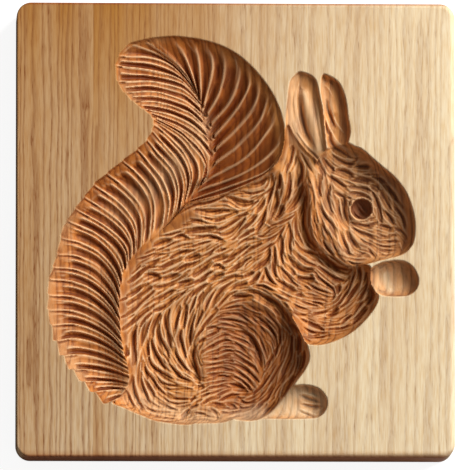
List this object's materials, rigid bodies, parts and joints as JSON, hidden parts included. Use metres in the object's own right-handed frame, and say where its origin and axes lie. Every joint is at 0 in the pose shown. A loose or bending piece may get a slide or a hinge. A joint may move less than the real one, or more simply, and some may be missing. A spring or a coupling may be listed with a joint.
{
  "type": "shortbread mould",
  "caption": "Near-square wooden shortbread mould of edge-glued staves with a squirrel carved as a hollow in its face, for pressing a raised pattern into dough.",
  "frame": {"origin": "centre of the flat back, on the surface that the mould lies on", "axes": "+Z leaves the carved face, +Y runs along the grain towards the squirrel's ears, +X towards its nose"},
  "size_m": [0.15, 0.156, 0.02],
  "materials": {
    "oiled_ash": "planed face and gouge-cut hollow, food-safe oil"
  },
  "bodies": {
    "root": {"left_edge_stave": "oiled_ash", "tail_stave": "oiled_ash", "spine_stave": "oiled_ash", "haunch_stave": "oiled_ash", "muzzle_stave": "oiled_ash", "right_edge_stave": "oiled_ash"}
  },
  "joints": []
}
